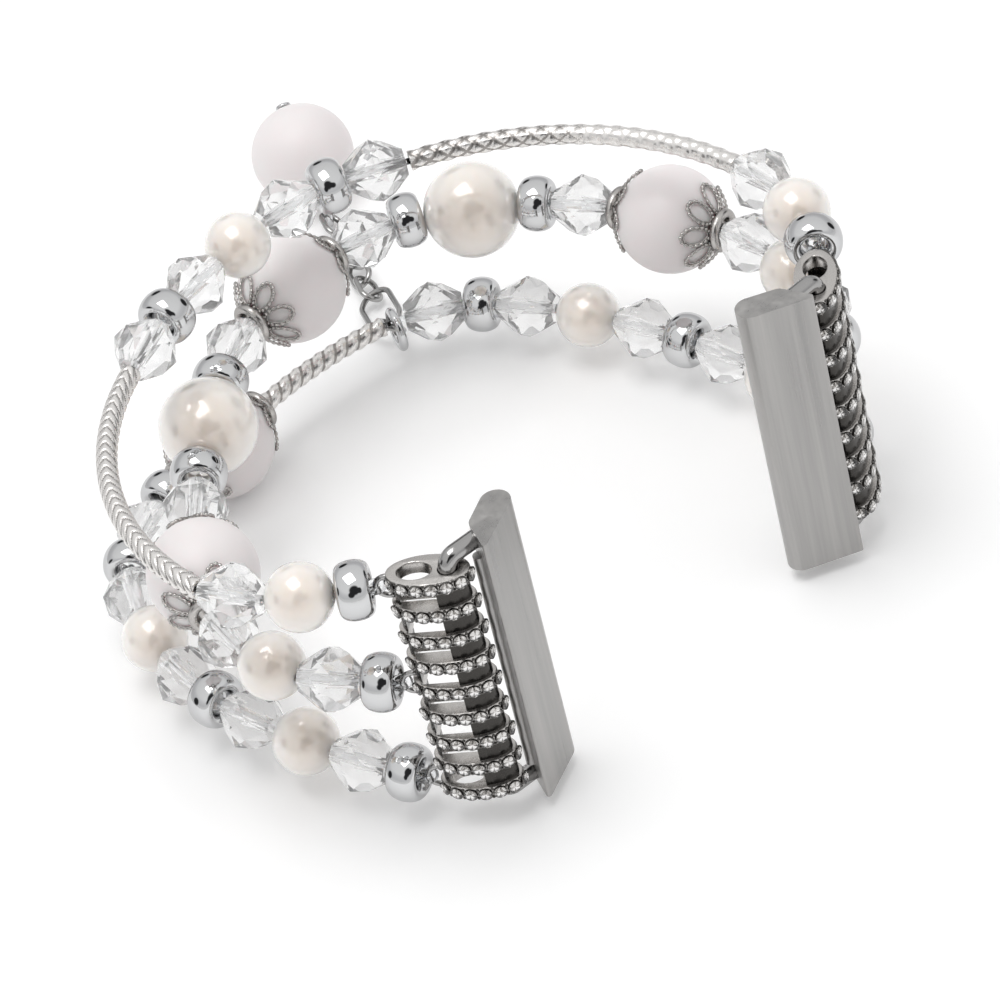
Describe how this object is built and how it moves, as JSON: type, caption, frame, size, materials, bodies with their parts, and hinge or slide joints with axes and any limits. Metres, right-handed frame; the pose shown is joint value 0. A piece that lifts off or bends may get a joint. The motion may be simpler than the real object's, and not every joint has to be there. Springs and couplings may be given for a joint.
{
  "type": "beaded watch band",
  "caption": "Beaded bracelet band for a watch: three elastic rows of pearls, crystals and stones between ribbed connectors with slide-in lug bars.",
  "frame": {"origin": "middle of the gap that the watch case takes, halfway between the two lug bars and level with the middle row", "axes": "+X from the left lug bar to the right one, +Y from the watch to the back of the loop, +Z along the lug bars, up as the band stands on its edge"},
  "size_m": [0.0715, 0.0866, 0.0311],
  "materials": {
    "gunmetal": "polished, slightly dark",
    "rhinestone": "cut, clear",
    "steel": "satin",
    "elastic": "clear, smooth",
    "crystal": "cut, clear",
    "pearl": "pearly",
    "antique_silver": "antique silver",
    "frosted_stone": "milky, smooth",
    "chrome": "polished"
  },
  "bodies": {
    "bead_rows": {"top_cord": "elastic", "middle_cord": "elastic", "bottom_cord": "elastic", "top_rondelles": "chrome", "middle_rondelles": "chrome", "bottom_rondelles": "chrome", "top_crystals": "crystal", "middle_crystals": "crystal", "bottom_crystals": "crystal"},
    "left_connector": {"left_connector": "gunmetal", "left_rhinestones": "rhinestone"},
    "left_lug": {"left_lug_bar": "steel", "left_lug_arms": "steel"},
    "left_detent": {"left_lug_detent": "steel"},
    "right_connector": {"right_connector": "gunmetal", "right_rhinestones": "rhinestone"},
    "right_lug": {"right_lug_bar": "steel", "right_lug_arms": "steel"},
    "right_detent": {"right_lug_detent": "steel"},
    "top_pearl_1": {"top_pearl_1": "pearl"},
    "top_pearl_2": {"top_pearl_2": "pearl"},
    "top_pearl_3": {"top_pearl_3": "pearl"},
    "middle_pearl_1": {"middle_pearl_1": "pearl"},
    "middle_pearl_2": {"middle_pearl_2": "pearl"},
    "bottom_pearl_1": {"bottom_pearl_1": "pearl"},
    "bottom_pearl_2": {"bottom_pearl_2": "pearl"},
    "bottom_pearl_3": {"bottom_pearl_3": "pearl"},
    "bottom_pearl_4": {"bottom_pearl_4": "pearl"},
    "big_pearl_1": {"big_pearl_1": "pearl"},
    "big_pearl_2": {"big_pearl_2": "pearl"},
    "middle_stone_1": {"middle_stone_1": "frosted_stone", "middle_caps_1": "antique_silver"},
    "middle_stone_2": {"middle_stone_2": "frosted_stone", "middle_caps_2": "antique_silver"},
    "middle_stone_3": {"middle_stone_3": "frosted_stone", "middle_caps_3": "antique_silver"},
    "bottom_stone": {"bottom_stone": "frosted_stone", "bottom_caps": "antique_silver"},
    "top_tube_1": {"top_tube_1": "chrome"},
    "top_tube_2": {"top_tube_2": "chrome"},
    "bottom_tube": {"bottom_tube": "chrome"},
    "charm_ring": {"charm_ring": "chrome"},
    "charm_chain": {"charm_large_link": "chrome", "charm_small_links": "chrome"},
    "charm_pin": {"charm_pin": "chrome"},
    "charm_bead": {"charm_bead": "frosted_stone"}
  },
  "joints": [
    {"name": "left_connector_swing", "type": "hinge", "parent": "bead_rows", "child": "left_connector", "pos_m": [-0.02583, 0.00494, 0], "axis": [0, 0, 1], "range_deg": [-30, 30]},
    {"name": "left_lug_turn", "type": "hinge", "parent": "left_connector", "child": "left_lug", "pos_m": [-0.0215, 0.0003, 0], "axis": [0, 0, 1], "range_deg": [-60, 45]},
    {"name": "left_detent_press", "type": "slide", "parent": "left_lug", "child": "left_detent", "axis": [0.4652, -0.8852, 0], "range_m": [0, 0.0004], "stiffness_N_per_m": 200},
    {"name": "right_connector_swing", "type": "hinge", "parent": "bead_rows", "child": "right_connector", "pos_m": [0.02583, 0.00494, 0], "axis": [0, 0, 1], "range_deg": [-30, 30]},
    {"name": "right_lug_turn", "type": "hinge", "parent": "right_connector", "child": "right_lug", "pos_m": [0.0215, 0.0003, 0], "axis": [0, 0, 1], "range_deg": [-45, 60]},
    {"name": "right_detent_press", "type": "slide", "parent": "right_lug", "child": "right_detent", "axis": [-0.4652, -0.8852, 0], "range_m": [0, 0.0004], "stiffness_N_per_m": 200},
    {"name": "top_pearl_1_spin", "type": "hinge", "parent": "bead_rows", "child": "top_pearl_1", "pos_m": [-0.03062, 0.00928, 0.0112], "axis": [-0.701, 0.7131, 0], "continuous": true},
    {"name": "top_pearl_2_spin", "type": "hinge", "parent": "bead_rows", "child": "top_pearl_2", "pos_m": [-0.00384, 0.04923, 0.0112], "axis": [0.9924, 0.123, 0], "continuous": true},
    {"name": "top_pearl_3_spin", "type": "hinge", "parent": "bead_rows", "child": "top_pearl_3", "pos_m": [0.02893, 0.01054, 0.0112], "axis": [-0.3539, -0.9353, 0], "continuous": true},
    {"name": "middle_pearl_1_spin", "type": "hinge", "parent": "bead_rows", "child": "middle_pearl_1", "pos_m": [-0.03139, 0.01572, 0], "axis": [-0.1819, 0.9833, 0], "continuous": true},
    {"name": "middle_pearl_2_spin", "type": "hinge", "parent": "bead_rows", "child": "middle_pearl_2", "pos_m": [0.03122, 0.01586, 0], "axis": [-0.1937, -0.9811, 0], "continuous": true},
    {"name": "bottom_pearl_1_spin", "type": "hinge", "parent": "bead_rows", "child": "bottom_pearl_1", "pos_m": [-0.02965, 0.01685, -0.0112], "axis": [-0.2011, 0.9796, 0], "continuous": true},
    {"name": "bottom_pearl_2_spin", "type": "hinge", "parent": "bead_rows", "child": "bottom_pearl_2", "pos_m": [-0.02963, 0.03802, -0.0112], "axis": [0.2867, 0.958, 0], "continuous": true},
    {"name": "bottom_pearl_3_spin", "type": "hinge", "parent": "bead_rows", "child": "bottom_pearl_3", "pos_m": [0.02375, 0.03811, -0.0112], "axis": [0.3445, -0.9388, 0], "continuous": true},
    {"name": "bottom_pearl_4_spin", "type": "hinge", "parent": "bead_rows", "child": "bottom_pearl_4", "pos_m": [0.0281, 0.01718, -0.0112], "axis": [0.0015, -1, 0], "continuous": true},
    {"name": "big_pearl_1_spin", "type": "hinge", "parent": "bead_rows", "child": "big_pearl_1", "pos_m": [-0.01483, 0.04422, 0], "axis": [0.7527, 0.6583, 0], "continuous": true},
    {"name": "big_pearl_2_spin", "type": "hinge", "parent": "bead_rows", "child": "big_pearl_2", "pos_m": [0.01988, 0.047, 0], "axis": [0.7087, -0.7055, 0], "continuous": true},
    {"name": "middle_stone_1_spin", "type": "hinge", "parent": "bead_rows", "child": "middle_stone_1", "pos_m": [-0.02765, 0.02954, 0], "axis": [0.5353, 0.8447, 0], "continuous": true},
    {"name": "middle_stone_2_spin", "type": "hinge", "parent": "bead_rows", "child": "middle_stone_2", "pos_m": [0.00229, 0.05252, 0], "axis": [0.9933, 0.1157, 0], "continuous": true},
    {"name": "middle_stone_3_spin", "type": "hinge", "parent": "bead_rows", "child": "middle_stone_3", "pos_m": [0.02976, 0.03044, 0], "axis": [0.3112, -0.9503, 0], "continuous": true},
    {"name": "bottom_stone_spin", "type": "hinge", "parent": "bead_rows", "child": "bottom_stone", "pos_m": [-0.00917, 0.05309, -0.0112], "axis": [0.9883, 0.1525, 0], "continuous": true},
    {"name": "top_tube_1_roll", "type": "hinge", "parent": "bead_rows", "child": "top_tube_1", "pos_m": [-0.028, 0.03029, 0.0112], "axis": [0.4716, 0.8818, 0], "range_deg": [-12, 12], "deforming": ["top_cord"]},
    {"name": "top_tube_2_roll", "type": "hinge", "parent": "bead_rows", "child": "top_tube_2", "pos_m": [0.02168, 0.03222, 0.0112], "axis": [0.5524, -0.8336, 0], "range_deg": [-12, 12], "deforming": ["top_cord"]},
    {"name": "bottom_tube_roll", "type": "hinge", "parent": "bead_rows", "child": "bottom_tube", "pos_m": [0.00409, 0.05352, -0.0112], "axis": [0.9977, -0.0681, 0], "range_deg": [-12, 12], "deforming": ["bottom_cord"]},
    {"name": "charm_ring_turn", "type": "hinge", "parent": "bead_rows", "child": "charm_ring", "pos_m": [0.01222, 0.05269, -0.0112], "axis": [0.9318, -0.3629, 0], "range_deg": [-10, 60]},
    {"name": "charm_chain_swing", "type": "hinge", "parent": "charm_ring", "child": "charm_chain", "pos_m": [0.01277, 0.0541, -0.01303], "axis": [0, 0, 1], "range_deg": [-10, 10]},
    {"name": "charm_pin_swing", "type": "hinge", "parent": "charm_chain", "child": "charm_pin", "pos_m": [0.02124, 0.07407, -0.01485], "axis": [0, 0, 1], "range_deg": [-13, 13]},
    {"name": "charm_bead_spin", "type": "hinge", "parent": "charm_pin", "child": "charm_bead", "pos_m": [0.02348, 0.07934, -0.0112], "axis": [0.3232, 0.7614, 0.5621], "continuous": true}
  ]
}
